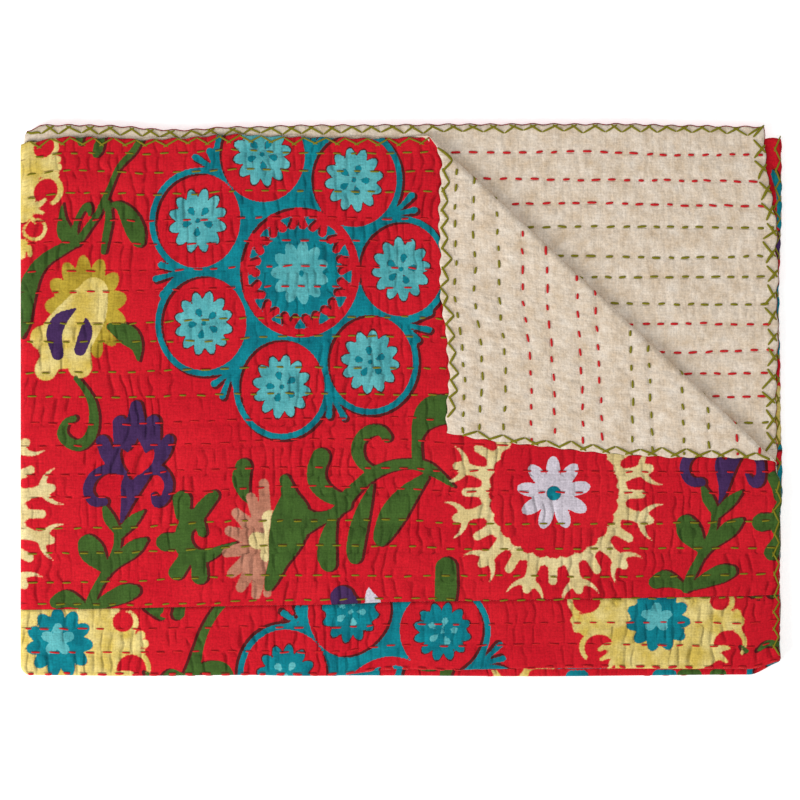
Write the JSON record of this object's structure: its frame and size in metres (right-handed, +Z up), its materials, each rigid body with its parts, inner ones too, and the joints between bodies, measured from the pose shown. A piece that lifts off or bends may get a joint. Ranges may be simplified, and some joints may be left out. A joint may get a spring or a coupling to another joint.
{
  "type": "kantha quilt",
  "caption": "Printed cotton throw quilted in running stitch over a plain back cloth, folded flat in quarters with one corner turned back.",
  "frame": {"origin": "on the surface the quilt lies on, under the middle of its box", "axes": "+Z up from the surface; +X along the folded quilt, away from its wrapped side fold; +Y away from its bottom fold"},
  "size_m": [0.8874, 0.6438, 0.0209],
  "materials": {
    "front_print": "printed plain-weave cotton, matt",
    "back_cloth": "natural slubby plain-weave cotton, matt",
    "stitching": "stranded cotton thread, slight sheen"
  },
  "bodies": {
    "root": {"front_upper_panel": "front_print", "front_lower_panel": "front_print", "back_cloth": "back_cloth"}
  },
  "joints": []
}
